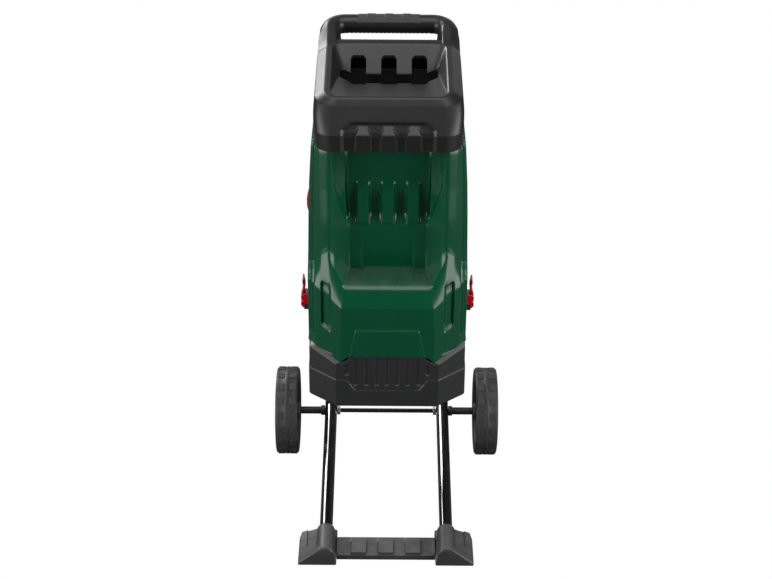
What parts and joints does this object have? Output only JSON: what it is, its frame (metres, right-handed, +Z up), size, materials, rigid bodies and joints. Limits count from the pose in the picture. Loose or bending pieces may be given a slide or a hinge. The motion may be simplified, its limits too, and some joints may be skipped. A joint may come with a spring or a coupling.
{
  "type": "wood chipper",
  "caption": "Upright electric garden chipper: guarded hopper over a knife disc, tilting green housing, tube legs, rear wheels and a cross foot.",
  "frame": {"origin": "middle of the footprint, on the ground", "axes": "+Z up, -Y to the front where the cross foot is, +Y to the rear where the wheels and handle are, X across"},
  "size_m": [0.401, 0.425, 0.8304],
  "materials": {
    "charcoal_plastic": "moulded charcoal polypropylene, fine satin grain",
    "green_plastic": "moulded dark green ABS, semi-gloss",
    "red_plastic": "moulded red plastic, semi-gloss",
    "gloss_black_tube": "steel tube, gloss black powder coat",
    "zinc_plated_steel": "zinc plated steel",
    "ground_steel": "ground tool steel",
    "cast_alloy": "cast and machined light alloy",
    "wound_copper": "varnished copper windings",
    "tread_plastic": "dark grey moulded tread",
    "soft_rubber": "soft black rubber"
  },
  "bodies": {
    "machine": {"left_leg_tube": "gloss_black_tube", "right_leg_tube": "gloss_black_tube", "left_leg_bolt": "zinc_plated_steel", "right_leg_bolt": "zinc_plated_steel", "left_axle_sleeve": "charcoal_plastic", "right_axle_sleeve": "charcoal_plastic", "left_axle_nut": "zinc_plated_steel", "right_axle_nut": "zinc_plated_steel", "left_foot": "charcoal_plastic", "right_foot": "charcoal_plastic", "left_foot_screw": "zinc_plated_steel", "right_foot_screw": "zinc_plated_steel", "foot_cross_bar": "charcoal_plastic", "axle_rod": "zinc_plated_steel", "base_shell": "charcoal_plastic", "hinge_pin": "zinc_plated_steel", "cutter_deck": "cast_alloy", "discharge_chute": "charcoal_plastic", "motor_can": "cast_alloy", "motor_stator": "wound_copper", "lower_bearing": "ground_steel", "upper_bearing": "ground_steel", "left_brush_holder": "charcoal_plastic", "right_brush_holder": "charcoal_plastic", "motor_screw_1": "zinc_plated_steel", "motor_screw_2": "zinc_plated_steel", "left_latch_bracket": "charcoal_plastic", "right_latch_bracket": "charcoal_plastic"},
    "rotor": {"motor_shaft": "ground_steel", "armature": "wound_copper", "cooling_fan": "charcoal_plastic", "cutter_disc": "cast_alloy", "blade_1": "ground_steel", "blade_2": "ground_steel", "blade_screw_1": "ground_steel", "blade_screw_2": "ground_steel", "blade_screw_3": "ground_steel", "blade_screw_4": "ground_steel", "disc_bolt": "ground_steel"},
    "upper_housing": {"upper_shell": "green_plastic", "hopper": "charcoal_plastic", "handle_grip": "soft_rubber", "feed_chute": "charcoal_plastic", "counter_blade": "ground_steel", "feed_flap": "soft_rubber", "rear_cover": "charcoal_plastic", "cover_screw_1": "zinc_plated_steel", "cover_screw_2": "zinc_plated_steel", "mains_inlet": "charcoal_plastic", "switch_box": "charcoal_plastic"},
    "rocker": {"switch_rocker": "red_plastic"},
    "reset": {"reset_button": "charcoal_plastic"},
    "left_lever": {"left_latch": "red_plastic"},
    "right_lever": {"right_latch": "red_plastic"},
    "left_wheel": {"left_tyre": "tread_plastic", "left_wheel_rim": "charcoal_plastic", "left_hub_cap": "charcoal_plastic"},
    "right_wheel": {"right_tyre": "tread_plastic", "right_wheel_rim": "charcoal_plastic", "right_hub_cap": "charcoal_plastic"}
  },
  "joints": [
    {"name": "housing_tilt", "type": "hinge", "parent": "machine", "child": "upper_housing", "pos_m": [0, 0.1355, 0.355], "axis": [-1, 0, 0], "range_deg": [0, 70]},
    {"name": "rotor_spin", "type": "hinge", "parent": "machine", "child": "rotor", "pos_m": [0, -0.017, 0.362], "axis": [0, 0, 1], "continuous": true},
    {"name": "left_wheel_spin", "type": "hinge", "parent": "machine", "child": "left_wheel", "pos_m": [-0.1805, 0.1325, 0.08], "axis": [1, 0, 0], "continuous": true},
    {"name": "right_wheel_spin", "type": "hinge", "parent": "machine", "child": "right_wheel", "pos_m": [0.1805, 0.1325, 0.08], "axis": [1, 0, 0], "continuous": true},
    {"name": "left_latch_swing", "type": "hinge", "parent": "machine", "child": "left_lever", "pos_m": [-0.1385, 0.062, 0.35], "axis": [0, -1, 0], "range_deg": [0, 95]},
    {"name": "right_latch_swing", "type": "hinge", "parent": "machine", "child": "right_lever", "pos_m": [0.1385, 0.062, 0.35], "axis": [0, 1, 0], "range_deg": [0, 95]},
    {"name": "switch_rock", "type": "hinge", "parent": "upper_housing", "child": "rocker", "pos_m": [-0.12308, 0.07, 0.545], "axis": [0, 1, 0], "range_deg": [0, 10]},
    {"name": "reset_press", "type": "slide", "parent": "upper_housing", "child": "reset", "axis": [1, 0, 0], "range_m": [0, 0.003], "stiffness_N_per_m": 400, "springref_m": -0.002}
  ]
}
